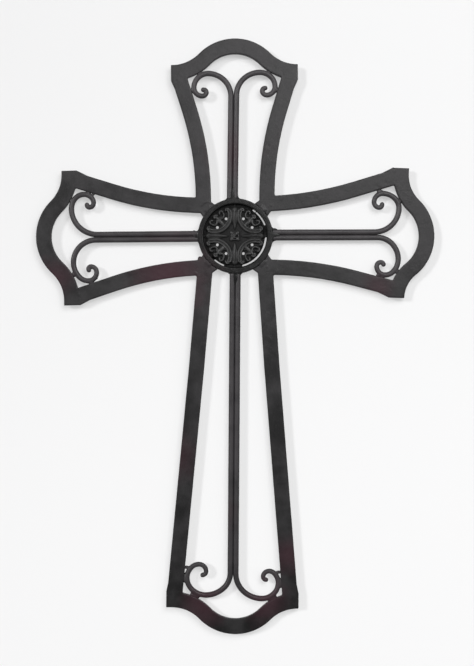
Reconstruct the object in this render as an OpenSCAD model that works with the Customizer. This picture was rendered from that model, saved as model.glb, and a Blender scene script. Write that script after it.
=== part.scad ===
// Wrought iron wall cross: flared arms of flat bar with ogee end caps, paired scroll rods, and a ring
// that holds a small pierced casting. The front faces -Y, +Z is up, and the origin is at the mouth of
// the hanging eye, on the wall. Each arm is drawn lying along +X, in a drawing plane whose Z is the
// height above the wall, and is then turned to its place.

/* [Reach] */
// Middle of the ring to the tip of the top arm
top_reach = 202; // [185:0.5:245]
// Middle of the ring to the tip of the left arm
left_reach = 204; // [185:0.5:245]
// Middle of the ring to the tip of the right arm
right_reach = 203.5; // [185:0.5:245]
// Middle of the ring to the tip of the foot
foot_reach = 407.2; // [320:0.1:500]

/* [Flat bar] */
// Width of the flat bar
bar_w = 15.9; // [13:0.1:18]
// Thickness of the flat bar
bar_t = 4.8; // [3:0.1:6]
// Space between the flat bar and the wall
stand_off = 4; // [2.5:0.1:8]

/* [Side bars] */
// How far the outer edges of the top, left, right and foot arm pass outside the ring
waist_out = [2.1, 1.6, 2.3, 0.8]; // [0.5:0.1:6]
// Angle between the side bars and their arm at the crossing
start_angle = [0.1, 2.2, 2.1, 3.8]; // [0:0.1:5]
// Angle between the side bars and their arm at the end caps
spread_angle = [17.3, 18, 15.9, 5]; // [5:0.1:20]
// Radius of the bend in the side bars
bend_r = [293, 306, 340, 4500]; // [240:1:5000]
// How far the side bars lean off square
bar_lean = [0.4, 0.8, 1, -0.5]; // [-2:0.1:2]

/* [End caps] */
// Depth of the top, left, right and foot cap from tip to corners
cap_depth = [26.7, 27.3, 28.4, 26.7]; // [22:0.1:32]
// Outer radius of a cap's crown
crown_r = 51.5; // [44:0.1:56]
// Half width of a cap's crown with its two hollows
ogee_half = 64.3; // [60:0.1:68]
// How far the corners of the top, left, right and foot cap stand out past the side bars
cap_flare = [1.2, 1.9, 2.3, 1.1]; // [0.5:0.1:4]
// How far each cap is turned off square
cap_turn = [0.4, 1.2, -2.1, -0.6]; // [-3:0.1:3]
// How far each crown is shifted sideways
cap_shift = [0.7, 1.2, -0.9, -0.4]; // [-3:0.1:3]

/* [Scroll rods] */
// Diameter of the round rod
rod_d = 5.5; // [4:0.1:7]
// Diameter of the drawn-down tip
tip_d = 4.5; // [3.5:0.1:6]
// Space between the two rods of a pair
pair_gap = 0.1; // [0.05:0.05:0.5]
// Least space left for the weld where a scroll meets a bar or a cap
weld_gap = 0.15; // [0.05:0.05:0.5]
// How far each pair of rods leans off square
rod_lean = [-0.75, 0.5, 0.15, -0.4]; // [-1.5:0.05:1.5]
// How far each pair of rods stands to one side of the ring's middle
rod_shift = [3.6, 0, 0.9, 0]; // [-4:0.1:4]

/* [Ring] */
// Outer radius of the ring
ring_r = 38.4; // [36:0.1:44]
// Wall of the ring
ring_wall = 5.4; // [4:0.1:7]
// How far the ring's front edge stands out past the flat bar
ring_proud = 1; // [0.8:0.1:4]

/* [Medallion] */
// Radius of the casting
medallion_r = 29; // [24:0.1:31]
// How far the casting sits back from the front of the ring
medallion_recess = 1; // [0.5:0.1:2]
// Thickness of its pierced plate
plate_t = 2.6; // [2:0.1:4]
// Height of its raised ribs above the plate
relief = 2.2; // [1:0.1:3]
// How far the casting sits to the left of the ring's middle
medallion_shift = 0.7; // [0:0.1:1.5]

/* [Hanging eye] */
// Outer radius of the eye
eye_r = 7; // [5.5:0.1:8]
// Radius of its bore
eye_bore_r = 3.25; // [2:0.05:4]

/* [Hidden] */
TOP = 0;
LEFT = 1;
RIGHT = 2;
FOOT = 3;
reach = [top_reach, left_reach, right_reach, foot_reach];
arm_turn = [90, 180, 0, 270];
far = 600;
skim = 1;
least_run = 0.5;

// Seen along an arm from the ring, side 1 is the left hand and side -1 is the right hand.
CAPS = [["cap_top", TOP], ["cap_left", LEFT], ["cap_right", RIGHT], ["cap_foot", FOOT]];
BARS = [
    ["bar_top_left", TOP, 1], ["bar_top_right", TOP, -1],
    ["bar_left_upper", LEFT, -1], ["bar_left_lower", LEFT, 1],
    ["bar_right_upper", RIGHT, 1], ["bar_right_lower", RIGHT, -1],
    ["bar_foot_left", FOOT, -1], ["bar_foot_right", FOOT, 1]];
// Each scroll was bent by hand. Its shape is how much wider its first turn is than its second, and how
// long the first three turns are for their width. The others are the weld it needs to the bar and to the
// cap beyond the least, how much each of the three inner turns closes on the turn before it, and how far
// round the last one goes.
RODS = [
    ["rod_top_left", TOP, 1, [1.62, 1.00, 1.00, 1.00], [0, 0], [0.60, 0.48, 0.6], 110],
    ["rod_top_right", TOP, -1, [1.55, 0.98, 0.94, 1.00], [0, 0], [0.56, 0.52, 0.6], 100],
    ["rod_left_upper", LEFT, -1, [1.83, 0.99, 0.88, 1.12], [0, 0], [0.61, 0.51, 0.5], 100],
    ["rod_left_lower", LEFT, 1, [1.22, 1.00, 0.80, 1.00], [0, 1.2], [0.46, 0.70, 0.4], 125],
    ["rod_right_upper", RIGHT, 1, [1.66, 1.03, 1.12, 1.00], [1.2, 0], [0.60, 0.62, 0.5], 100],
    ["rod_right_lower", RIGHT, -1, [1.36, 0.96, 0.82, 1.00], [0, 0.7], [0.54, 0.50, 0.6], 85],
    ["rod_foot_left", FOOT, -1, [1.32, 0.90, 0.92, 1.14], [0, 1.5], [0.64, 0.60, 0.5], 90],
    ["rod_foot_right", FOOT, 1, [1.59, 0.95, 0.95, 1.28], [0, 0.6], [0.57, 0.62, 0.5], 90]];

rod_r = rod_d / 2;
tip_r = tip_d / 2;
pair_half = rod_r + pair_gap / 2;
rod_level = stand_off + bar_t / 2;
rod_base = ring_r - ring_wall / 2;
ring_in = ring_r - ring_wall;
ring_depth = stand_off + bar_t + ring_proud;
waist = [for (out = waist_out) ring_r + out];
eye_reach = top_reach - bar_w / 2;
arc_step = 2;
seat_tries = 24;
// Each leg of a rod bites a little into the leg before it, and is a little thinner (degrees mm, mm)
leg_bite = 4;
leg_step = 0.01;

// ---- Paths ----

function rot(p, a) = [p[0] * cos(a) - p[1] * sin(a), p[0] * sin(a) + p[1] * cos(a)];
function flip(p, side) = [p[0], side * p[1]];
function left_of(heading) = [-sin(heading), cos(heading)];
function reversed(points) = [for (i = [len(points) - 1 : -1 : 0]) points[i]];

// A path is a start, a heading and a list of legs. A leg is [length, 0] when it is straight, or
// [radius, sweep] when it bends, with a positive sweep to the left. A station is [point, heading].
function along(station, leg, share) =
    let (at = station[0], h = station[1], bend = sign(leg[1]), k = h + share * leg[1])
    bend == 0
        ? [at + share * leg[0] * [cos(h), sin(h)], h]
        : [at + bend * leg[0] * (left_of(h) - left_of(k)), k];
function stations(start, legs, i = 0) =
    i == len(legs) ? [start] :
    let (count = max(1, ceil(abs(legs[i][1]) / arc_step)))
    concat([for (j = [0 : count - 1]) along(start, legs[i], j / count)],
        stations(along(start, legs[i], 1), legs, i + 1));
function edge(path, offset) = [for (s = path) s[0] + offset * left_of(s[1])];

// ---- Side bars: the path is the outer edge of the left-hand bar ----

function bar_start(arm) = [[waist[arm], waist[arm]], start_angle[arm]];
function bar_bend(arm) = [bend_r[arm], spread_angle[arm] - start_angle[arm]];
function bar_straight_start(arm) = along(bar_start(arm), bar_bend(arm), 1);
function bar_straight(arm) =
    (reach[arm] - cap_depth[arm] - bar_w / 2 - bar_straight_start(arm)[0][0])
        / cos(spread_angle[arm]);
function bar_outline(arm) =
    let (back = along(bar_start(arm), [-bar_w * 1.5, 0], 1),
        path = stations(back, [[bar_w * 1.5, 0], bar_bend(arm), [bar_straight(arm), 0]]))
    concat(edge(path, 0), reversed(edge(path, -bar_w)));

// Where the outer edge of a side bar meets the cap, with the bar's lean
function bar_end(arm, side) =
    let (s = bar_straight_start(arm)[0], u = reach[arm] - cap_depth[arm] - bar_w)
    rot([u, side * (s[1] + (u - s[0]) * tan(spread_angle[arm]))], bar_lean[arm]);

// ---- End caps: a crown between two hollows, and a straight run out to the corner on each side ----

function cap_half(arm, side) = side * (bar_end(arm, side)[1] - cap_shift[arm]) + cap_flare[arm];
function ogee_span(arm, side) = min(ogee_half, cap_half(arm, side) - least_run);
function ogee_sweep(arm, side) = 2 * atan(cap_depth[arm] / ogee_span(arm, side));
function hollow_r(arm, side) = ogee_span(arm, side) / sin(ogee_sweep(arm, side)) - crown_r;
function cap_path(arm, side) =
    let (sweep = ogee_sweep(arm, side))
    stations([[0, 0], 90], [[crown_r, sweep], [hollow_r(arm, side), -sweep],
        [cap_half(arm, side) - ogee_span(arm, side), 0]]);
// One long edge of a cap, from its right-hand end to its left-hand end
function cap_edge(arm, offset) =
    let (right = edge(cap_path(arm, -1), offset), left = edge(cap_path(arm, 1), offset))
    concat([for (p = reversed(right)) flip(p, -1)], [for (i = [1 : len(left) - 1]) left[i]]);
function cap_outline(arm) = concat(cap_edge(arm, 0), reversed(cap_edge(arm, bar_w)));
// All that lies past the inner edge of a cap, which the side bars stop at
function cap_zone(arm) =
    let (inner = cap_edge(arm, bar_w), foot = inner[0][0])
    concat([[foot, -far]], inner, [[foot, far], [far, far], [far, -far]]);
// A cap is drawn with its tip at the origin, and turns about the middle of its corners
function cap_place(arm, p) =
    [reach[arm] - cap_depth[arm], cap_shift[arm]] + rot(p + [cap_depth[arm], 0], cap_turn[arm]);

// ---- Scrolls: each is drawn to meet both the side bar and the bulge inside the cap ----

// Two legs that turn a quarter while going so far ahead and so far aside
function quarter(ahead, aside) =
    let (s = sin(45), t = 1 - s)
    [[(s * ahead - t * aside) / (s - t), 45], [(s * aside - t * ahead) / (s - t), 45]];

function bulge_middle(arm, side) =
    cap_place(arm, flip(
        rot([crown_r + hollow_r(arm, side), 0], ogee_sweep(arm, side)) - [crown_r, 0], side));
function bar_clearance(arm, side, p) =
    let (inner = bar_straight_start(arm)[0] - bar_w * left_of(spread_angle[arm]))
    (rot(flip(inner, side), bar_lean[arm]) - p)
        * rot(flip(left_of(spread_angle[arm]), side), bar_lean[arm]);
function rod_place(arm, p) = rot(p, rod_lean[arm]) + [0, rod_shift[arm]];
// Works towards [distance of the far side of the scroll along the rods, width of its second turn]
function scroll_seat(arm, side, shape, weld, closing, seat, tries = seat_tries) =
    tries == 0 ? seat :
    let (r = seat[1],
        out = pair_half + shape[0] * r,
        far_r = quarter(r, shape[2] * r)[0][0],
        far_middle = rod_place(arm, [seat[0] - far_r, side * out]),
        near_r = quarter(shape[3] * r * closing[0], r * closing[0])[0][0],
        near_middle = rod_place(arm, [seat[0] - shape[2] * r, side * (out + r - near_r)]),
        to_cap = norm(bulge_middle(arm, side) - far_middle) - hollow_r(arm, side) - bar_w
            - far_r - rod_r - weld_gap - weld[1],
        to_bar = bar_clearance(arm, side, near_middle) - near_r - rod_r - weld_gap - weld[0])
    scroll_seat(arm, side, shape, weld, closing, seat + [to_cap, to_bar / (1 + shape[0])], tries - 1);
function rod_path(arm, side, shape, weld, closing, sweep) =
    let (seat = scroll_seat(arm, side, shape, weld, closing, [reach[arm] - cap_depth[arm], bar_w]),
        r = seat[1],
        first = shape[0] * r,
        inner = r * closing[0],
        last = inner * closing[1],
        tip = max(last * closing[2], tip_r + pair_gap))
    concat([[seat[0] - shape[1] * first - rod_base, 0]], quarter(shape[1] * first, first),
        quarter(r, shape[2] * r), quarter(shape[3] * inner, inner), [[last, 90], [tip, sweep]]);

// ---- Solids ----

module in_place() {
    translate([0, 0, -eye_reach]) rotate([90, 0, 0]) children();
}

module raised(low, high) {
    translate([0, 0, low]) linear_extrude(high - low) children();
}

module on_side(side) {
    mirror([0, side < 0 ? 1 : 0, 0]) children();
}

module at_cap(arm) {
    translate(cap_place(arm, [0, 0])) rotate(cap_turn[arm]) children();
}

module cap(arm) {
    color([0.13, 0.12, 0.13])
    in_place() raised(stand_off, stand_off + bar_t) rotate(arm_turn[arm])
    at_cap(arm) polygon(cap_outline(arm));
}

module bar(arm, side) {
    color([0.14, 0.13, 0.13])
    in_place() raised(stand_off, stand_off + bar_t) rotate(arm_turn[arm])
    difference() {
        intersection() {
            rotate(bar_lean[arm]) on_side(side) polygon(bar_outline(arm));
            // The two bars that meet at a corner of the crossing are mitred on its diagonal.
            on_side(side) polygon([[0, 0], [far, 0], [far, far]]);
        }
        circle(ring_r, $fn = 120);
        at_cap(arm) polygon(cap_zone(arm));
    }
}

module rod_leg(start, leg, r) {
    translate([start[0][0], start[0][1], 0])
    if (leg[1] == 0)
        rotate([0, 0, start[1]]) rotate([0, 90, 0]) cylinder(h = leg[0], r = r, $fn = 32);
    else {
        bite = leg_bite / leg[0];
        translate(leg[0] * left_of(start[1])) rotate([0, 0, start[1] - 90 - bite])
        rotate_extrude(angle = leg[1] + bite, $fn = 96) translate([leg[0], 0]) circle(r, $fn = 32);
    }
}

// Draws the legs one after another, each a little thinner than the last, down to a rounded tip
module rod_legs(start, legs, i = 0) {
    thin = i / (len(legs) - 1);
    if (i < len(legs)) {
        rod_leg(start, legs[i], rod_r + (tip_r - rod_r) * thin * thin - leg_step * i);
        rod_legs(along(start, legs[i], 1), legs, i + 1);
    } else {
        translate([start[0][0], start[0][1], 0]) sphere(tip_r + 0.05, $fn = 32);
    }
}

module rod(arm, side, legs) {
    color([0.16, 0.15, 0.15])
    in_place()
    difference() {
        rotate([0, 0, arm_turn[arm]]) translate([0, rod_shift[arm], rod_level])
        rotate([0, 0, rod_lean[arm]]) on_side(side) rod_legs([[rod_base, pair_half], 0], legs);
        cylinder(h = ring_depth, r = ring_r, $fn = 120);
    }
}

module ring() {
    color([0.17, 0.16, 0.16])
    in_place()
    difference() {
        cylinder(h = ring_depth, r = ring_r, $fn = 120);
        translate([0, 0, -skim]) cylinder(h = ring_depth + 2 * skim, r = ring_in, $fn = 120);
    }
}

// ---- Medallion: four leafed lobes round a small flower, on a plate that is pierced eight times ----

lobe_middle = medallion_r * 0.98;
lobe_r = medallion_r * 0.61;
rib_w = medallion_r * 0.055;
petal_w = medallion_r * 0.17;
petal_reach = medallion_r * 0.88;
tack_w = medallion_r * 0.08;
scallop_r = medallion_r * 0.09;
relief_r = medallion_r * 0.89;
boss_w = medallion_r * 0.33;
hole_r = medallion_r * 0.052;
hole_reach = medallion_r * 0.66;
hole_spread = 20;
plate_low = ring_depth - medallion_recess - relief - plate_t;
plate_high = plate_low + plate_t;
relief_high = plate_high + relief;
relief_bite = plate_t / 4;

module scalloped_disc() {
    circle(medallion_r - scallop_r, $fn = 90);
    for (quarter = [0 : 3], curl = [-2 : 2])
        rotate(45 + 90 * quarter + 14.5 * curl)
        translate([medallion_r - scallop_r, 0]) circle(scallop_r, $fn = 24);
}

module rib_ring(r) {
    difference() {
        circle(r, $fn = 72);
        circle(r - rib_w, $fn = 72);
    }
}

module lobe_relief() {
    intersection() {
        circle(relief_r, $fn = 90);
        translate([lobe_middle, 0]) {
            rib_ring(lobe_r);
            rib_ring(lobe_r - 2 * rib_w);
        }
    }
    // The leaf on the lobe's middle line
    translate([hole_reach * 1.02, 0])
    intersection() {
        translate([0, medallion_r * 0.24]) circle(medallion_r * 0.3, $fn = 48);
        translate([0, -medallion_r * 0.24]) circle(medallion_r * 0.3, $fn = 48);
    }
}

module pierced_hole() {
    circle(hole_r, $fn = 32);
    polygon([[-hole_r * 2.4, 0], [-hole_r * 0.4, -hole_r * 0.9], [-hole_r * 0.4, hole_r * 0.9]]);
}

module medallion() {
    color([0.10, 0.10, 0.10])
    in_place()
    translate([-medallion_shift, 0, 0])
    difference() {
        union() {
            raised(plate_low, plate_high) scalloped_disc();
            for (quarter = [0 : 3]) rotate(45 + 90 * quarter)
                raised(plate_high - relief_bite, relief_high) lobe_relief();
            // A petal on each axis, and the tack past its tip that joins the casting to the ring
            for (turn = [0, 90]) rotate(turn) {
                raised(plate_high - relief_bite, plate_high + relief / 2)
                    square([2 * petal_reach, petal_w], center = true);
                raised(plate_low, plate_high) square([2 * ring_r, tack_w], center = true);
            }
            raised(plate_high - relief_bite, relief_high) {
                rotate(45) circle(boss_w * 0.62, $fn = 4);
                for (quarter = [0 : 3]) rotate(45 + 90 * quarter)
                    translate([boss_w * 0.5, 0]) circle(boss_w * 0.2, $fn = 24);
            }
        }
        for (quarter = [0 : 3], hand = [-1, 1]) rotate(45 + 90 * quarter + hand * hole_spread)
            translate([hole_reach, 0]) raised(plate_low - skim, plate_high + skim) pierced_hole();
        translate([medallion_shift, 0, 0]) difference() {
            raised(plate_low - skim, relief_high + skim) circle(ring_r + skim, $fn = 120);
            raised(plate_low - 2 * skim, relief_high + 2 * skim) circle(ring_in, $fn = 120);
        }
    }
}

module hanging_eye() {
    color([0.15, 0.14, 0.14])
    in_place() translate([0, eye_reach, 0])
    raised(0, stand_off)
    difference() {
        circle(eye_r, $fn = 48);
        circle(eye_bore_r, $fn = 48);
    }
}

for (c = CAPS) cap(c[1]);
for (b = BARS) bar(b[1], b[2]);
for (r = RODS) rod(r[1], r[2], rod_path(r[1], r[2], r[3], r[4], r[5], r[6]));
ring();
medallion();
hanging_eye();
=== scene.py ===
# Wrought iron wall cross: bars, caps and scroll rods welded round a ring that holds a small casting,
# all under one coat of dark satin paint. It hangs in front of a plain pale wall.
import math

import bmesh
import bpy
from mathutils import Matrix, Vector, noise
from mathutils.bvhtree import BVHTree


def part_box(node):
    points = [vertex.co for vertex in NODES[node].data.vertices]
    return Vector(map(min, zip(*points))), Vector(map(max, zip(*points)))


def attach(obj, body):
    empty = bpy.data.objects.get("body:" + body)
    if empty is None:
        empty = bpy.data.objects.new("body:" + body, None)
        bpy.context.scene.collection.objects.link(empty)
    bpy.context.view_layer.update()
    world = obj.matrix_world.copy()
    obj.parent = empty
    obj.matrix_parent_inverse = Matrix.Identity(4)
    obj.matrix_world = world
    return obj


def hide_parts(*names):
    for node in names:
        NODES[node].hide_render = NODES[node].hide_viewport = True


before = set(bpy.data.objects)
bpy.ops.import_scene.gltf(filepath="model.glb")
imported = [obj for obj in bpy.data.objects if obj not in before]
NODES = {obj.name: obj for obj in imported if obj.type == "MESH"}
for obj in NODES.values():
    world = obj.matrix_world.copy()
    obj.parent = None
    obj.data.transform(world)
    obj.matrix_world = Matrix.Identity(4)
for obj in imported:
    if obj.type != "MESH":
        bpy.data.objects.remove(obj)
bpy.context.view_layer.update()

MM = 0.001

# The cross lies in the XZ plane with its front towards -Y, and heights are measured out from the wall.
RING_LOW, RING_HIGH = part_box("ring")
CAP_LOW, CAP_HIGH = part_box("cap_top")
CROSS_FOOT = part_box("cap_foot")[0].z
CROSSING = (RING_LOW + RING_HIGH) / 2
RING_R = (RING_HIGH.x - RING_LOW.x) / 2 / MM
BAR_FRONT = -CAP_LOW.y / MM
BAR_BACK = -CAP_HIGH.y / MM
BAR_MIDDLE = (BAR_FRONT + BAR_BACK) / 2
HALF_BAR = (BAR_FRONT - BAR_BACK) / 2
TOWARDS_FRONT = Vector((0, -1, 0))

# Size of the small squares of which each finished skin is made
SKIN_STEP = 0.6 * MM
CASTING_STEP = 0.4 * MM
EYE_STEP = SKIN_STEP / 2
# Points nearer than this to another piece lie on the seam with it.
SEAM_REACH = 0.03 * MM
# Copied corners nearer than this are one corner.
SAME_POINT = 1e-6

# ---- Placing things on the cross ----


def spot(across, up, height):
    """A point in millimetres right of and above the middle of the crossing, and out from the wall."""
    return Vector((CROSSING.x + across * MM, -height * MM, CROSSING.z + up * MM))


def polar(reach, angle):
    """How far right and up a point lies, at this reach and angle (in degrees) from the middle."""
    turn = math.radians(angle)
    return reach * math.cos(turn), reach * math.sin(turn)


def turned(point, angle):
    """Puts a shape's middle at the point, turned anticlockwise as the cross is seen from the front."""
    return Matrix.Translation(point) @ Matrix.Rotation(math.radians(angle), 4, TOWARDS_FRONT)


def sized(length, depth, width):
    """Scales a shape of radius 1 to half sizes in millimetres."""
    return Matrix.Diagonal((length * MM, depth * MM, width * MM, 1))


def flat_step(across, up):
    """A step along the wall, in millimetres."""
    return Vector((across * MM, 0, up * MM))


def at_bar_level(point):
    """The same place on the wall, at the middle of the bars' thickness."""
    return Vector((point.x, -BAR_MIDDLE * MM, point.z))


def inward_from(point):
    """The way along the wall from a point to the middle of the crossing."""
    return Vector((CROSSING.x - point.x, 0, CROSSING.z - point.z))


def angle_of(point):
    """The angle in degrees at which a point lies round the crossing."""
    return math.degrees(math.atan2(point.z - CROSSING.z, point.x - CROSSING.x))


def heading_of(direction):
    """The angle in degrees of a direction along the wall."""
    return math.degrees(math.atan2(direction.z, direction.x))


# ---- Shapes of metal ----


def blob(iron, point, angle, half_length, half_width, half_depth):
    """An egg of weld metal, its length along the angle."""
    place = turned(point, angle) @ sized(half_length, half_depth, half_width)
    bmesh.ops.create_icosphere(iron, subdivisions=3, radius=1, matrix=place)


def plate(iron, outline, half_depth):
    """A flat plate on an outline of a few points that lie at its middle level."""
    low = Vector((0, half_depth * MM, 0))
    face = iron.faces.new([iron.verts.new(point + low) for point in outline])
    raised = bmesh.ops.extrude_face_region(iron, geom=[face])["geom"]
    moving = [part for part in raised if isinstance(part, bmesh.types.BMVert)]
    bmesh.ops.translate(iron, verts=moving, vec=TOWARDS_FRONT * 2 * half_depth * MM)


def gusset(iron, corner, first_angle, first_leg, second_angle, second_leg, half_depth):
    """A three-cornered web that fills a corner, with one leg along each side of it."""
    first_tip = corner + flat_step(*polar(first_leg, first_angle))
    second_tip = corner + flat_step(*polar(second_leg, second_angle))
    plate(iron, (corner, first_tip, second_tip), half_depth)


def strap(iron, start, end, angle, length):
    """Metal let in flush across a seam, so that the join is closed."""
    back = flat_step(*polar(length, angle))
    plate(iron, (start, end, end + back, start + back), HALF_BAR)


def disc(iron, point, radius, half_depth, segments):
    """A round plate that lies flat."""
    lying = Matrix.Rotation(math.radians(90), 4, "X")
    place = turned(point, 0) @ sized(radius, half_depth, radius) @ lying
    bmesh.ops.create_cone(
        iron, cap_ends=True, segments=segments, radius1=1, radius2=1, depth=2, matrix=place)


# Degrees of sweep times millimetres of radius that one step of a bent rib covers
SWEEP_PER_STEP = 45
RIB_SIDES = 14


def bent_rib(iron, middle, radius, start, sweep, half_width, half_height):
    """A rib of oval section that follows an arc, lying flat."""
    turn = Matrix.Rotation(math.radians(start), 4, TOWARDS_FRONT)
    section = (
        Matrix.Translation(middle) @ turn @ Matrix.Translation((radius * MM, 0, 0))
        @ sized(half_width, half_height, half_width))
    end = bmesh.ops.create_circle(iron, cap_ends=True, segments=RIB_SIDES, radius=1, matrix=section)["verts"]
    faces = {face for vert in end for face in vert.link_faces}
    edges = {edge for vert in end for edge in vert.link_edges}
    steps = max(4, math.ceil(abs(sweep) * radius / SWEEP_PER_STEP))
    bmesh.ops.spin(
        iron, geom=list(end) + list(edges) + list(faces), cent=middle, axis=TOWARDS_FRONT,
        angle=math.radians(sweep), steps=steps, use_duplicate=False)


def add_node(iron, node):
    """Adds a merged copy of a node's mesh to the metal."""
    copy = bmesh.new()
    copy.from_mesh(NODES[node].data)
    bmesh.ops.remove_doubles(copy, verts=copy.verts, dist=SAME_POINT)
    mesh = bpy.data.meshes.new("copy")
    copy.to_mesh(mesh)
    copy.free()
    iron.from_mesh(mesh)
    bpy.data.meshes.remove(mesh)


def surface_of(node):
    """A node's surface, to look up the points on it that lie nearest."""
    copy = bmesh.new()
    copy.from_mesh(NODES[node].data)
    surface = BVHTree.FromBMesh(copy)
    copy.free()
    return surface


# ---- From raw metal to a finished piece ----


def evaluated_mesh(piece):
    """A piece's mesh with its modifiers worked in."""
    graph = bpy.context.evaluated_depsgraph_get()
    return bpy.data.meshes.new_from_object(piece.evaluated_get(graph))


def drop_specks(mesh):
    """Keeps the largest connected part of a mesh, without specks of metal or sealed voids."""
    metal = bmesh.new()
    metal.from_mesh(mesh)
    unseen = set(metal.verts)
    largest = set()
    while unseen:
        waiting = [unseen.pop()]
        part = set(waiting)
        while waiting:
            vert = waiting.pop()
            for edge in vert.link_edges:
                other = edge.other_vert(vert)
                if other in unseen:
                    unseen.discard(other)
                    part.add(other)
                    waiting.append(other)
        if len(part) > len(largest):
            largest = part
    bmesh.ops.delete(metal, geom=[vert for vert in metal.verts if vert not in largest], context="VERTS")
    metal.to_mesh(mesh)
    metal.free()


def skinned(name, iron, step, easing):
    """Fuses the metal into one skin and eases its edges."""
    bmesh.ops.recalc_face_normals(iron, faces=iron.faces)
    raw = bpy.data.meshes.new(name)
    iron.to_mesh(raw)
    iron.free()
    piece = bpy.data.objects.new(name, raw)
    bpy.context.collection.objects.link(piece)
    skin = piece.modifiers.new("Skin", "REMESH")
    skin.mode = "VOXEL"
    skin.voxel_size = step * 1
    ease = piece.modifiers.new("Ease", "SMOOTH")
    ease.factor = 0.5
    ease.iterations = easing
    finished = evaluated_mesh(piece)
    piece.modifiers.clear()
    piece.data = finished
    bpy.data.meshes.remove(raw)
    finished.name = name
    drop_specks(finished)
    finished.shade_smooth()
    return piece


# How close together the hammer's marks lie, broad and fine
WAVES_PER_METRE = 75
DENTS_PER_METRE = 240
DENT_OFFSET = Vector((3, 7, 1))
# Depths of the marks in millimetres, broad and fine
BAR_HAMMERING = (0.12, 0.10)
ROD_HAMMERING = (0.08, 0.06)
RING_HAMMERING = (0.10, 0.12)
CASTING_HAMMERING = (0.05, 0.08)
EYE_HAMMERING = (0.05, 0.05)


def hammered(piece, broad, fine, swell=0.0):
    """Works the skin over in millimetres: broad waves and fine dents go in, and a swell goes out."""
    mesh = piece.data
    normals = [vertex.normal.copy() for vertex in mesh.vertices]
    for vertex, normal in zip(mesh.vertices, normals):
        here = vertex.co
        wave = 0.5 + 0.5 * noise.noise(here * WAVES_PER_METRE)
        dent = 0.5 + 0.5 * noise.noise(here * DENTS_PER_METRE + DENT_OFFSET)
        vertex.co = here + normal * MM * (swell - broad * wave - fine * dent * dent)
    mesh.update()
    return piece


def finish(piece, material, slot, *nodes):
    """Paints a piece, hangs it on the root body and hides the nodes that it takes the place of."""
    piece.data.materials.clear()
    piece.data.materials.append(material)
    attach(piece, "root")
    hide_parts(*nodes)


# ---- Materials ----


def sockets(group, going_in, coming_out):
    """Gives a group its named inputs and outputs, and returns the nodes for both."""
    for name, kind, value in going_in:
        socket = group.interface.new_socket(name, in_out="INPUT", socket_type=kind)
        socket.default_value = value
    for name, kind in coming_out:
        group.interface.new_socket(name, in_out="OUTPUT", socket_type=kind)
    nodes = group.nodes
    return nodes.new("NodeGroupInput"), nodes.new("NodeGroupOutput")


def feed(tree, socket, value):
    """Sets a socket to a plain value, or links an output to it."""
    if isinstance(value, bpy.types.NodeSocket):
        tree.links.new(value, socket)
    else:
        socket.default_value = value


def noise_node(tree, vector, scale, detail, roughness=0.5):
    """A cloudy texture, mostly between 0.3 and 0.7."""
    node = tree.nodes.new("ShaderNodeTexNoise")
    node.inputs["Scale"].default_value = scale
    node.inputs["Detail"].default_value = detail
    node.inputs["Roughness"].default_value = roughness
    tree.links.new(vector, node.inputs["Vector"])
    return node.outputs["Fac"]


def math_node(tree, operation, first, second):
    """The result of an operation on two values, each a number or an output."""
    node = tree.nodes.new("ShaderNodeMath")
    node.operation = operation
    feed(tree, node.inputs[0], first)
    feed(tree, node.inputs[1], second)
    return node.outputs[0]


def ranged(tree, value, low, high, new_low=0.0, new_high=1.0, easing="SMOOTHSTEP"):
    """Turns the range from low to high into the new one, and stops at its ends."""
    node = tree.nodes.new("ShaderNodeMapRange")
    node.interpolation_type = easing
    for name, setting in (
            ("From Min", low), ("From Max", high), ("To Min", new_low), ("To Max", new_high),
            ("Value", value)):
        feed(tree, node.inputs[name], setting)
    return node.outputs["Result"]


# Where a Mix node that mixes colours has its amount, its two colours and its result
MIX_AMOUNT, MIX_FIRST, MIX_SECOND, MIX_RESULT = 0, 6, 7, 2


def mixed(tree, amount, first, second):
    """A colour that goes from the first to the second as the amount goes from 0 to 1."""
    node = tree.nodes.new("ShaderNodeMix")
    node.data_type = "RGBA"
    for place, value in ((MIX_AMOUNT, amount), (MIX_FIRST, first), (MIX_SECOND, second)):
        feed(tree, node.inputs[place], value)
    return node.outputs[MIX_RESULT]


def paint_mottling():
    """Large and small clouds in the coat of paint, from 0 to 1."""
    group = bpy.data.node_groups.new("Paint mottling", "ShaderNodeTree")
    start, end = sockets(
        group,
        (("Place", "NodeSocketVector", (0, 0, 0)), ("Cloud scale", "NodeSocketFloat", 42),
         ("Grain scale", "NodeSocketFloat", 700)),
        (("Clouds", "NodeSocketFloat"), ("Grain", "NodeSocketFloat")))
    for scale, detail, name in (("Cloud scale", 4, "Clouds"), ("Grain scale", 3, "Grain")):
        texture = noise_node(group, start.outputs["Place"], 1, detail, 0.6)
        group.links.new(start.outputs[scale], texture.node.inputs["Scale"])
        group.links.new(ranged(group, texture, 0.3, 0.7), end.inputs[name])
    return group


def warm_patch():
    """A soft-edged patch where a warmer coat shows through."""
    group = bpy.data.node_groups.new("Warm patch", "ShaderNodeTree")
    start, end = sockets(
        group,
        (("Place", "NodeSocketVector", (0, 0, 0)), ("Middle", "NodeSocketVector", (0, 0, 0)),
         ("Radius", "NodeSocketFloat", 0.03), ("Strength", "NodeSocketFloat", 1)),
        (("Mask", "NodeSocketFloat"),))
    apart = group.nodes.new("ShaderNodeVectorMath")
    apart.operation = "DISTANCE"
    group.links.new(start.outputs["Place"], apart.inputs[0])
    group.links.new(start.outputs["Middle"], apart.inputs[1])
    cloud = noise_node(group, start.outputs["Place"], 60, 3, 0.6)
    ragged = math_node(group, "MULTIPLY", apart.outputs["Value"], math_node(group, "ADD", cloud, 0.5))
    near = ranged(group, ragged, 0.0, start.outputs["Radius"], 1.0, 0.0)
    group.links.new(math_node(group, "MULTIPLY", near, start.outputs["Strength"]), end.inputs["Mask"])
    return group


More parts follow.
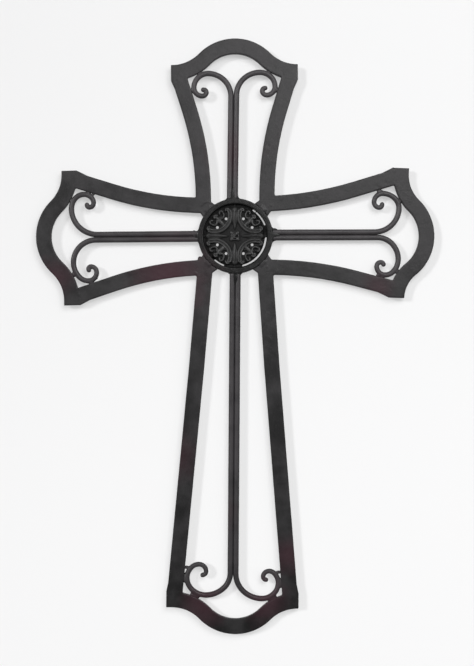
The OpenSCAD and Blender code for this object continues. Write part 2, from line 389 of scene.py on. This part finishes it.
def worked_skin():
    """Height of the fine texture left by hammer, scale and brush."""
    group = bpy.data.node_groups.new("Worked skin", "ShaderNodeTree")
    start, end = sockets(
        group,
        (("Place", "NodeSocketVector", (0, 0, 0)), ("Dents", "NodeSocketFloat", 0.6),
         ("Brush", "NodeSocketFloat", 0.4)),
        (("Height", "NodeSocketFloat"),))
    place = start.outputs["Place"]
    dents = math_node(group, "MULTIPLY", noise_node(group, place, 180, 2), start.outputs["Dents"])
    brush = math_node(group, "MULTIPLY", noise_node(group, place, 900, 3), start.outputs["Brush"])
    group.links.new(math_node(group, "ADD", dents, brush), end.inputs["Height"])
    return group


def painted_top_sheen():
    """Painted sheen that lightens the coat towards the top: 0 at the foot of the cross and 1 at its top."""
    group = bpy.data.node_groups.new("Painted top sheen", "ShaderNodeTree")
    start, end = sockets(
        group,
        (("Place", "NodeSocketVector", (0, 0, 0)), ("Foot", "NodeSocketFloat", CROSS_FOOT),
         ("Top", "NodeSocketFloat", 0)),
        (("Mask", "NodeSocketFloat"),))
    parts = group.nodes.new("ShaderNodeSeparateXYZ")
    group.links.new(start.outputs["Place"], parts.inputs[0])
    foot, top = start.outputs["Foot"], start.outputs["Top"]
    mask = ranged(group, parts.outputs["Z"], foot, top, easing="LINEAR")
    group.links.new(mask, end.inputs["Mask"])
    return group


MOTTLING = paint_mottling()
# Painted sheen: a mask that lightens the coat towards the top of the cross
PAINTED_TOP_SHEEN = painted_top_sheen()
WARM = warm_patch()
WORKED = worked_skin()


def placed(tree, group, place, **values):
    """Puts a group into a material with its own values."""
    node = tree.nodes.new("ShaderNodeGroup")
    node.node_tree = group
    tree.links.new(place, node.inputs["Place"])
    for name, value in values.items():
        node.inputs[name.replace("_", " ")].default_value = value
    return node


# Where the warm undercoat shows: right of and above the origin in millimetres, radius, strength
WARM_PATCHES = (
    (-68, -234, 56, 1.0), (-184, -237, 26, 0.8), (30, -566, 34, 0.8), (-31, -569, 34, 0.8),
    (54, -520, 26, 0.7), (146, -246, 22, 0.6), (-66, -420, 40, 0.6), (-3, -110, 40, 0.5),
    (-20, -480, 30, 0.5))
WARM_COAT = (0.026, 0.010, 0.014, 1)
# Painted shade: the nearly black colour put into the low parts of the ring and the casting
PAINTED_SHADE_COLOUR = (0.0015, 0.0015, 0.0015, 1)
HOLLOW_DULLNESS = 0.4
ROUGHNESS_SPREAD = 0.09
SKIN_STRENGTH = 0.5
SKIN_DEPTH = 0.6 * MM


def painted_iron(name, dark, light, rough, dents, shine):
    """Black paint with clouds from dark to light, lighter to the top with painted sheen, and warm where it
    has worn.
    """
    material = bpy.data.materials.new(name)
    material.use_nodes = True
    tree = material.node_tree
    shader = tree.nodes["Principled BSDF"]
    shader.inputs["Specular IOR Level"].default_value = shine
    place = tree.nodes.new("ShaderNodeTexCoord").outputs["Object"]
    mottling = placed(tree, MOTTLING, place)
    top_sheen = placed(tree, PAINTED_TOP_SHEEN, place)
    # Painted sheen: the coat's clouds plus a lighter tone towards the top
    mottling_and_sheen = math_node(tree, "ADD", mottling.outputs["Clouds"], top_sheen.outputs["Mask"])
    colour = mixed(tree, math_node(tree, "MULTIPLY", mottling_and_sheen, 0.5), dark, light)
    mask = 0.0
    for across, up, radius, strength in WARM_PATCHES:
        patch = placed(
            tree, WARM, place, Middle=(across * MM, -BAR_FRONT * MM, up * MM),
            Radius=radius * MM, Strength=strength)
        mask = math_node(tree, "MAXIMUM", mask, patch.outputs["Mask"])
    colour = mixed(tree, mask, colour, WARM_COAT)
    tree.links.new(colour, shader.inputs["Base Color"])
    worn = math_node(tree, "ADD", mottling.outputs["Grain"], mottling.outputs["Clouds"])
    roughness = ranged(tree, worn, 0, 2, rough - ROUGHNESS_SPREAD, rough + ROUGHNESS_SPREAD)
    tree.links.new(roughness, shader.inputs["Roughness"])
    skin = placed(tree, WORKED, place, Dents=dents)
    bump = tree.nodes.new("ShaderNodeBump")
    bump.inputs["Strength"].default_value = SKIN_STRENGTH
    bump.inputs["Distance"].default_value = SKIN_DEPTH
    tree.links.new(skin.outputs["Height"], bump.inputs["Height"])
    tree.links.new(bump.outputs["Normal"], shader.inputs["Normal"])
    return material


def painted_hollow_shade(material, low, high):
    """Paints shade into the hollows: the paint goes nearly black, and duller, lower down by height off the
    wall.
    """
    tree = material.node_tree
    shader = tree.nodes["Principled BSDF"]
    place = tree.nodes.new("ShaderNodeTexCoord").outputs["Object"]
    parts = tree.nodes.new("ShaderNodeSeparateXYZ")
    tree.links.new(place, parts.inputs[0])
    height = math_node(tree, "MULTIPLY", parts.outputs["Y"], -1 / MM)
    raised = ranged(tree, height, low, high)
    coat = shader.inputs["Base Color"].links[0].from_socket
    tree.links.new(mixed(tree, raised, PAINTED_SHADE_COLOUR, coat), shader.inputs["Base Color"])
    gloss = shader.inputs["Roughness"].links[0].from_socket
    dull = math_node(tree, "MULTIPLY", math_node(tree, "SUBTRACT", 1, raised), HOLLOW_DULLNESS)
    tree.links.new(math_node(tree, "ADD", gloss, dull), shader.inputs["Roughness"])


# Each paint: darkest and lightest coat, roughness, depth of dents, shine
BAR_PAINT = painted_iron(
    "Satin black bar", (0.001, 0.001, 0.001, 1), (0.024, 0.023, 0.024, 1), 0.42, 0.6, 0.14)
ROD_PAINT = painted_iron(
    "Satin black rod", (0.016, 0.015, 0.016, 1), (0.040, 0.037, 0.039, 1), 0.40, 0.4, 0.15)
RING_PAINT = painted_iron(
    "Satin black ring", (0.003, 0.003, 0.003, 1), (0.008, 0.008, 0.008, 1), 0.34, 0.8, 0.10)
CASTING_PAINT = painted_iron(
    "Painted casting", (0.008, 0.008, 0.008, 1), (0.024, 0.024, 0.024, 1), 0.32, 0.5, 0.20)
# Painted shade in the low parts of the casting and the ring
painted_hollow_shade(CASTING_PAINT, 6.3, 8.7)
painted_hollow_shade(RING_PAINT, 4.0, 8.0)

# ---- End caps, with the weld that runs across the end of each bar ----

# Each bar with the direction in which it runs up to its cap
CAP_BARS = {
    "cap_top": (("bar_top_left", 107.7), ("bar_top_right", 73.1)),
    "cap_left": (("bar_left_upper", 162.8), ("bar_left_lower", 198.8)),
    "cap_right": (("bar_right_upper", 16.9), ("bar_right_lower", -14.9)),
    "cap_foot": (("bar_foot_left", 264.5), ("bar_foot_right", 274.5))}
# How far the corners of each cap stand out past the bars, and how far back they run along them
CAP_FLARES = {"cap_top": 1.2, "cap_left": 1.9, "cap_right": 2.3, "cap_foot": 1.1}
FLARE_RUN = 17
# The flares start, and the beads stop, this far inside the bars' edges.
EDGE_BITE = 1
STRAP_LENGTH = 5
BEAD_PITCH = 2.2 * MM
BEAD_LEVELS = (BAR_FRONT - 0.6, BAR_BACK + 0.6)
# Half length, half width and half depth of a bead, and how far each of them varies
BEAD_SIZES = (2.4, 2.0, 0.68)
BEAD_SPREADS = (1.2, 0, 0.2)
UNEVENNESS_PER_METRE = 400


def seam_points(node, other):
    """Where the corners of a node that touch another node lie along the wall."""
    surface = surface_of(other)
    return [Vector((vertex.co.x, 0, vertex.co.z)) for vertex in NODES[node].data.vertices
            if surface.find_nearest(vertex.co, SEAM_REACH)[0] is not None]


def off_axis(point, axis):
    """How far a point lies to the side of an arm's middle line."""
    return abs(math.sin(math.radians(angle_of(point) - axis))) * inward_from(point).length


def seam_weld(iron, start, end):
    """Low, uneven dabs of ground-down weld along a seam, front and back."""
    run = end - start
    count = max(3, round(run.length / BEAD_PITCH))
    for bead in range(count):
        here = start + run * ((bead + 0.5) / count)
        uneven = noise.noise(here * UNEVENNESS_PER_METRE)
        sizes = [size + spread * uneven for size, spread in zip(BEAD_SIZES, BEAD_SPREADS)]
        for height in BEAD_LEVELS:
            blob(iron, Vector((here.x, -height * MM, here.z)), heading_of(run) + 90, *sizes)


for cap, bars in CAP_BARS.items():
    iron = bmesh.new()
    add_node(iron, cap)
    for bar, heading in bars:
        arm_axis = round(heading / 90) * 90
        seam = sorted(seam_points(bar, cap), key=lambda point: off_axis(point, arm_axis))
        inner, outer = at_bar_level(seam[0]), at_bar_level(seam[-1])
        across = (outer - inner).normalized() * EDGE_BITE * MM
        strap(iron, inner, outer, heading + 180, STRAP_LENGTH)
        seam_weld(iron, inner + across, outer - across)
        # The corner of the cap runs out in a flare from the bar's edge.
        flare = CAP_FLARES[cap] + EDGE_BITE
        gusset(iron, outer - across, heading + 180, FLARE_RUN, heading_of(across), flare, HALF_BAR)
    piece = hammered(skinned(cap + "_iron", iron, SKIN_STEP, 4), *BAR_HAMMERING)
    finish(piece, BAR_PAINT, "flat_bar", cap)

# ---- Side bars, two to a corner of the crossing, welded along their mitre ----

# The two bars of each corner, and the direction in which their mitre runs
CORNERS = {
    "corner_top_left": ("bar_top_left", "bar_left_upper", 135),
    "corner_top_right": ("bar_top_right", "bar_right_upper", 45),
    "corner_foot_left": ("bar_foot_left", "bar_left_lower", 225),
    "corner_foot_right": ("bar_foot_right", "bar_right_lower", 315)}

# The mitre's web: how deep it starts, as a share of the way to the crossing, and its length
MITRE_BITE = 0.03
MITRE_WEB = 4.4
# A web beside the ring: how deep it starts, then its angle and length along the bar and the ring
RING_BITE = 1.2
BAR_SIDE = (42, 7.5)
RING_SIDE = (98, 6.6)
# Marks the welder left on the corners: right of and above the crossing, height, angle, half sizes
CORNER_MARKS = {
    "corner_top_left": (
        (-31.0, 34.3, 8.5, 29, 4.4, 1.2, 1.0), (-34.0, 32.0, 8.4, 50, 2.8, 1.3, 1.0),
        (-26.0, 34.0, 8.2, -40, 2.6, 1.1, 1.0)),
    "corner_top_right": ((37.0, 31.0, 8.3, 8, 3.8, 0.9, 0.8),),
    "corner_foot_left": (
        (-40.5, -38.0, 8.2, -20, 3.0, 2.1, 0.9), (-36.4, -23.0, 6.4, 110, 2.4, 2.3, 1.8)),
    "corner_foot_right": ((32.0, -31.5, 8.3, 40, 2.0, 1.4, 0.9),)}


def off_diagonal(point, diagonal):
    """The angle between a point and a corner's diagonal, with its sign."""
    return (angle_of(point) - diagonal + 180) % 360 - 180


for corner, (first, second, diagonal) in CORNERS.items():
    iron = bmesh.new()
    add_node(iron, first)
    add_node(iron, second)
    # The web in the open corner of the mitre
    outer = max(seam_points(first, second), key=lambda point: (point - CROSSING).length)
    bite = at_bar_level(outer) + inward_from(outer) * MITRE_BITE
    gusset(iron, bite, diagonal - 45, MITRE_WEB, diagonal + 45, MITRE_WEB, HALF_BAR)
    # The webs that run in between each bar and the ring
    for bar in (first, second):
        on_ring = seam_points(bar, "ring")
        inner = max(on_ring, key=lambda point: abs(off_diagonal(point, diagonal)))
        side = math.copysign(1, off_diagonal(inner, diagonal))
        inward = inward_from(inner).normalized()
        bite = at_bar_level(inner) + (inward + (outer - inner).normalized()) * RING_BITE * MM
        on_bar, on_hoop = diagonal + side * BAR_SIDE[0], angle_of(inner) + side * RING_SIDE[0]
        gusset(iron, bite, on_bar, BAR_SIDE[1], on_hoop, RING_SIDE[1], HALF_BAR)
    # The low hump of weld over the end of the mitre
    bent_rib(iron, spot(0, 0, BAR_FRONT - 0.5), RING_R + 0.7, diagonal - 5, 10, 3.4, 1.2)
    for across, up, height, angle, length, width, depth in CORNER_MARKS[corner]:
        blob(iron, spot(across, up, height), angle, length, width, depth)
    piece = hammered(skinned(corner, iron, SKIN_STEP, 5), *BAR_HAMMERING)
    finish(piece, BAR_PAINT, "flat_bar", first, second)

# ---- Scroll rods, each with the small welds that hold it to a bar and to the cap ----

# The bar and the cap that each scroll is welded to, and one more dab of weld: right of and above the
# origin, angle, half length and half width
SCROLLS = {
    "rod_top_left": ("bar_top_left", "cap_top", (-45.0, -53.4, 20, 2.6, 1.4)),
    "rod_top_right": ("bar_top_right", "cap_top", (42.4, -57.5, -20, 2.8, 1.4)),
    "rod_left_upper": ("bar_left_upper", "cap_left", (-146, -151.6, 20, 2.4, 1.2)),
    "rod_left_lower": ("bar_left_lower", "cap_left", (-143, -237, -20, 2.2, 1.2)),
    "rod_right_upper": ("bar_right_upper", "cap_right", (148.4, -148.8, 15, 3.0, 1.6)),
    "rod_right_lower": ("bar_right_lower", "cap_right", (146, -234.6, -15, 2.2, 1.2)),
    "rod_foot_left": ("bar_foot_left", "cap_foot", (-50.6, -533, 10, 2.8, 1.5)),
    "rod_foot_right": ("bar_foot_right", "cap_foot", (44.6, -538, 0, 3.0, 1.5))}
# Half sizes of the weld at each touching place: along the gap beyond its width, and across it
SHORT_WELD = (1.2, 2.6)
LONG_WELD = (1.8, 5.2)
WELD_DEPTH, DAB_DEPTH = 1.8, 1.7
# The rods are let out this far, so that their sides come where they should after the easing.
ROD_SWELL = 0.26


def nearest_gap(node, other):
    """The point halfway across the narrowest gap between two nodes, its width and its direction."""
    surface = surface_of(other)
    best = None
    for vertex in NODES[node].data.vertices:
        point, _, _, gap = surface.find_nearest(vertex.co)
        if best is None or gap < best[1]:
            best = ((vertex.co + point) / 2, gap, point - vertex.co)
    return best


for rod, (bar, cap, dab) in SCROLLS.items():
    iron = bmesh.new()
    add_node(iron, rod)
    reach, width = LONG_WELD if "foot" in rod else SHORT_WELD
    for other in (bar, cap):
        point, gap, direction = nearest_gap(rod, other)
        length = reach + gap / MM / 2
        blob(iron, at_bar_level(point), heading_of(direction), length, width, WELD_DEPTH)
    across, up, angle, length, width = dab
    blob(iron, at_bar_level(flat_step(across, up)), angle, length, width, DAB_DEPTH)
    piece = skinned(rod.replace("rod", "scroll"), iron, SKIN_STEP, 6)
    finish(hammered(piece, *ROD_HAMMERING, ROD_SWELL), ROD_PAINT, "round_rod", rod)

# ---- Ring, with the welds round it ----

# Heights off the wall of the sunken weld, the bead inside the edge and the fillets
SUNKEN_LEVEL = 3.6
EDGE_LEVEL = 7.2
FILLET_LEVEL = 6.3
FILLET_HALF_DEPTH = 1.7
RUN_HALF_HEIGHT = 1.6
# A fillet is a tall narrow web and a low wide one together, so that its edge is hollow.
FILLET_SHARES = ((1, 0.45), (0.45, 1))

ring = bmesh.new()
add_node(ring, "ring")
# Sunken weld runs between the ring and the casting: start, sweep, reach, half width
for start, sweep, reach, half_width in (
        (58, 164, 30.6, 2.9), (250, 33, 30.6, 2.9), (-2, 22, 30.6, 2.9), (18, 42, 29.8, 1.95),
        (220, 32, 29.8, 1.95), (280, 80, 29.2, 1.2)):
    bent_rib(ring, spot(0, 0, SUNKEN_LEVEL), reach, start, sweep, half_width, RUN_HALF_HEIGHT)
# The bead of weld inside the ring's front edge, over the longest open slit
bent_rib(ring, spot(0, 0, EDGE_LEVEL), RING_R - 5.3, 262, 112, 1.3, RUN_HALF_HEIGHT)
# Fillets where the rods run into the ring: where each starts, along the rod, along the ring
for across, up, along_angle, along, round_angle, around in (
        (-6.6, 36.4, 91, 10.5, 188, 5.6), (1.6, 37.0, 90, 10.0, -10, 5.4),
        (-37.0, 3.6, 180, 7.0, 98, 4.2), (-37.0, -4.6, 180, 6.0, -100, 3.4),
        (36.8, 5.0, 0, 10.5, 106, 7.6), (37.0, -3.8, 0, 8.0, -96, 5.0),
        (3.8, -36.8, -90, 10.0, 6, 5.4), (-4.0, -37.0, -90, 8.5, 184, 4.6)):
    corner = spot(across, up, FILLET_LEVEL)
    for tall, wide in FILLET_SHARES:
        gusset(
            ring, corner, along_angle, along * tall, round_angle, around * wide, FILLET_HALF_DEPTH)
# Collars of weld over each pair of rods, and the lumps beside them: right of and above the crossing,
# height, angle, half sizes
for across, up, height, angle, length, width, depth in (
        (-2.5, 41.5, 7.6, 90, 9.0, 4.9, 1.95), (-39.5, 0, 7.5, 0, 4.4, 5.0, 1.9),
        (-42.2, 4.6, 6.8, 0, 1.8, 1.5, 1.5), (40.0, 0.8, 7.6, 0, 6.4, 4.9, 1.95),
        (40.6, 6.4, 6.8, -15, 2.8, 1.8, 1.7), (0.4, -42.0, 7.6, -90, 8.6, 4.9, 1.95)):
    blob(ring, spot(across, up, height), angle, length, width, depth)
piece = hammered(skinned("ring_iron", ring, SKIN_STEP, 3), *RING_HAMMERING)
finish(piece, RING_PAINT, "ring_iron", "ring")

# ---- Casting: four leafed lobes round a small flower ----

# The casting sits a little to the left in the ring.
CASTING_SHIFT = -0.7
CASTING_SPREAD = 1.03
# The lobes' middles lie this far out, and their ridges have this radius.
LOBE_REACH = 28.4
LOBE_R = 17.05
DISC_SIDES = 120
DIAGONALS = (45, 135, 225, 315)


def in_casting(reach, angle, height):
    """A point at this reach and angle from the middle of the casting, and out from the wall."""
    across, up = polar(reach * CASTING_SPREAD, angle)
    return spot(across + CASTING_SHIFT, up, height)


def cut_disc(name, radius, height, half_depth, cutters):
    """A disc less the cutters, as a mesh."""
    whole = (in_casting(0, 0, height), radius, half_depth, DISC_SIDES)
    discs = []
    for part, shapes in ((name, (whole,)), (name + "_cutter", cutters)):
        metal = bmesh.new()
        for point, size, depth, segments in shapes:
            disc(metal, point, size, depth, segments)
        bmesh.ops.recalc_face_normals(metal, faces=metal.faces)
        mesh = bpy.data.meshes.new(part)
        metal.to_mesh(mesh)
        metal.free()
        discs.append(bpy.data.objects.new(part, mesh))
        bpy.context.collection.objects.link(discs[-1])
    body, cutter = discs
    cut = body.modifiers.new("Cut", "BOOLEAN")
    cut.operation = "DIFFERENCE"
    cut.solver = "EXACT"
    cut.object = cutter
    result = evaluated_mesh(body)
    for part in discs:
        bpy.data.meshes.remove(part.data)
    return result


# The back plate with its eight holes, and the web left between the four lobes
casting = bmesh.new()
holes = [(in_casting(19.3, diagonal + turn, 5), 1.4, 2, 24)
         for diagonal in DIAGONALS for turn in (-18.5, 18.5)]
lobes = [(in_casting(LOBE_REACH, diagonal, 6), LOBE_R * 1.02, 3, 96) for diagonal in DIAGONALS]
for mesh in (cut_disc("plate", 29.2, 4.8, 0.8, holes), cut_disc("web", 28.2, 5.2, 0.8, lobes)):
    casting.from_mesh(mesh)
    bpy.data.meshes.remove(mesh)

for diagonal in DIAGONALS:
    middle = in_casting(LOBE_REACH, diagonal, 6.7)
    # The doubled ridge round the lobe
    bent_rib(casting, middle, LOBE_R + 0.2, diagonal + 180 - 66, 132, 1.35, 2.2)
    bent_rib(casting, middle, LOBE_R - 2.5, diagonal + 180 - 68, 136, 1.1, 1.7)
    # The leaf down its middle, and the stems that curl out to the rim on either side
    blob(casting, in_casting(19.0, diagonal, 6.7), diagonal, 5.6, 2.3, 2.1)
    blob(casting, in_casting(24.6, diagonal, 6.6), diagonal, 3.2, 1.7, 1.9)
    for hand in (-1, 1):
        stem = in_casting(24.4, diagonal + hand * 11.5, 6.4)
        bent_rib(casting, stem, 2.9, diagonal + 180 - hand * 100, hand * 190, 1.4, 2.1)
        blob(casting, in_casting(16.8, diagonal + hand * 10, 6.0), diagonal - hand * 25, 2.2, 0.7, 1.3)
    # The curled edge
    for curl in range(-2, 3):
        at = diagonal + 14.5 * curl
        bent_rib(casting, in_casting(26.6, at, 6.6), 1.75, at - 115, 230, 1.3, 2.1)

# The crests between the lobes: each with its ridge, the point towards the flower, and the rim's end
for axis, crest in ((0, 1.3), (90, 1.5), (180, 1.3), (270, 1.6)):
    blob(casting, in_casting(19, axis, 6.0), axis, 10.5, crest * 2.1, 2.1)
    blob(casting, in_casting(19.5, axis, 7.6), axis, 8.6, crest * 0.6, 1.4)
    blob(casting, in_casting(12.5, axis, 6.2), axis, 6.6, crest * 1.1, 1.9)
    blob(casting, in_casting(26.0, axis, 6.0), axis, 3.2, 3.0, 1.9)
    blob(casting, in_casting(30, axis, 5.2), axis, 3.4, 1.3, 1.2)

# The flower: four round petals on the diagonals, a square rim and a curled button
for diagonal in DIAGONALS:
    blob(casting, in_casting(4.3, diagonal, 7.2), diagonal, 2.2, 1.7, 1.6)
    blob(casting, in_casting(3.6, diagonal + 45, 7.2), diagonal + 135, 2.8, 0.6, 1.5)
bent_rib(casting, in_casting(0, 0, 7.6), 1.9, 20, 300, 0.55, 1.4)
blob(casting, in_casting(0, 0, 7.4), 0, 1.0, 0.8, 1.6)

piece = hammered(skinned("casting_iron", casting, CASTING_STEP, 2), *CASTING_HAMMERING)
finish(piece, CASTING_PAINT, "casting", "medallion")

# ---- Hanging eye, on the back of the top cap ----

eye = bmesh.new()
add_node(eye, "hanging_eye")
piece = hammered(skinned("eye_iron", eye, EYE_STEP, 3), *EYE_HAMMERING)
finish(piece, BAR_PAINT, "back_iron", "hanging_eye")

# ---- Wall, floor, light and camera ----

FLOOR_LEVEL = -1.0
WALL_GAP = 0.6 * MM
STAGE_HALF = 2.5
# The glow evens out the light: stronger at the foot, weaker at the top.
GLOW_FOOT, GLOW_TOP = -0.75, 0.15
GLOW = (0.565, 0.45)
PLASTER = ((0.27, 0.27, 0.272, 1), (0.28, 0.28, 0.281, 1))
WHITE = (1, 1, 1, 1)
# The share of the white surroundings' strength that lights the iron
SOFT_LIGHT = 0.22


def staged_sheet(name, place, material):
    """A square of wall or floor that takes shadows and throws neither shade nor light on the iron."""
    sheet = bmesh.new()
    bmesh.ops.create_grid(sheet, x_segments=1, y_segments=1, size=STAGE_HALF, matrix=place)
    mesh = bpy.data.meshes.new(name)
    sheet.to_mesh(mesh)
    sheet.free()
    mesh.materials.append(material)
    plane = bpy.data.objects.new(name, mesh)
    bpy.context.collection.objects.link(plane)
    plane.visible_diffuse = False
    plane.visible_shadow = False


def looked_at(tree):
    """1 for what the eye sees, straight, in a reflection or through glass, and 0 for lighting."""
    rays = tree.nodes.new("ShaderNodeLightPath")
    mirrored = math_node(tree, "MAXIMUM", rays.outputs["Is Camera Ray"], rays.outputs["Is Glossy Ray"])
    return math_node(tree, "MAXIMUM", mirrored, rays.outputs["Is Transmission Ray"])


def pale_plaster(name):
    """A pale matt surface that also glows to the eye, and is clear from behind."""
    material = bpy.data.materials.new(name)
    material.use_nodes = True
    tree = material.node_tree
    shader = tree.nodes["Principled BSDF"]
    shader.inputs["Roughness"].default_value = 0.9
    shader.inputs["Specular IOR Level"].default_value = 0.1
    place = tree.nodes.new("ShaderNodeTexCoord").outputs["Object"]
    colour = mixed(tree, noise_node(tree, place, 2.0, 3), *PLASTER)
    tree.links.new(colour, shader.inputs["Base Color"])
    shader.inputs["Emission Color"].default_value = WHITE
    parts = tree.nodes.new("ShaderNodeSeparateXYZ")
    tree.links.new(place, parts.inputs[0])
    glow = ranged(tree, parts.outputs["Z"], GLOW_FOOT, GLOW_TOP, *GLOW)
    tree.links.new(
        math_node(tree, "MULTIPLY", looked_at(tree), glow), shader.inputs["Emission Strength"])
    clear = tree.nodes.new("ShaderNodeBsdfTransparent")
    back = tree.nodes.new("ShaderNodeNewGeometry").outputs["Backfacing"]
    either = tree.nodes.new("ShaderNodeMixShader")
    tree.links.new(back, either.inputs[0])
    tree.links.new(shader.outputs[0], either.inputs[1])
    tree.links.new(clear.outputs[0], either.inputs[2])
    tree.links.new(either.outputs[0], tree.nodes["Material Output"].inputs["Surface"])
    return material


standing = Matrix.Rotation(math.radians(90), 4, "X")
upright = Matrix.Translation((0, WALL_GAP, FLOOR_LEVEL + STAGE_HALF)) @ standing
level = Matrix.Translation((0, 0, FLOOR_LEVEL))
staged_sheet("wall", upright, pale_plaster("Pale wall"))
staged_sheet("floor", level, pale_plaster("Pale floor"))

world = bpy.data.worlds.new("Studio")
bpy.context.scene.world = world
world.use_nodes = True
air = world.node_tree
backdrop = air.nodes["Background"]
white_added = math_node(air, "MULTIPLY", looked_at(air), 1 - SOFT_LIGHT)
air.links.new(math_node(air, "ADD", white_added, SOFT_LIGHT), backdrop.inputs["Strength"])
backdrop.inputs["Color"].default_value = WHITE


def lamp(name, kind, place, direction, strength, **settings):
    """A lamp at a place, shining in a direction."""
    light = bpy.data.lights.new(name, kind)
    light.energy = strength
    for setting, value in settings.items():
        setattr(light, setting, value)
    source = bpy.data.objects.new(name, light)
    source.location = place
    source.rotation_euler = Vector(direction).to_track_quat("-Z", "Y").to_euler()
    bpy.context.collection.objects.link(source)


# The key light throws the shadow to the right, a weak light from the right softens it, the softbox gives
# the paint its sheen, and the last one lights the back.
lamp("key", "SUN", (-2, -2, 1), (1.05, 1, -0.4), 2.3, angle=0.16)
lamp("side", "SUN", (2, -2, 0), (-1.3, 1, 0), 0.3, angle=0.5)
softbox_at = Vector((0.5, -1.6, 0.5))
lamp("softbox", "AREA", softbox_at, Vector((0, 0, -0.15)) - softbox_at, 35,
     shape="RECTANGLE", size=1.2, size_y=1.0)
lamp("back_fill", "SUN", (0, 2, 1), (-0.3, -1, -0.5), 3.0, angle=0.8)

# The camera looks from straight in front.
CAMERA_AT = (0.0016, -1.209, -0.2933)
LENS = 63.5
camera_data = bpy.data.cameras.new("camera")
camera_data.lens = LENS
camera = bpy.data.objects.new("camera", camera_data)
camera.location = CAMERA_AT
camera.rotation_euler = (math.radians(90), 0, 0)
bpy.context.collection.objects.link(camera)
bpy.context.scene.camera = camera
bpy.context.scene.view_settings.view_transform = "Standard"
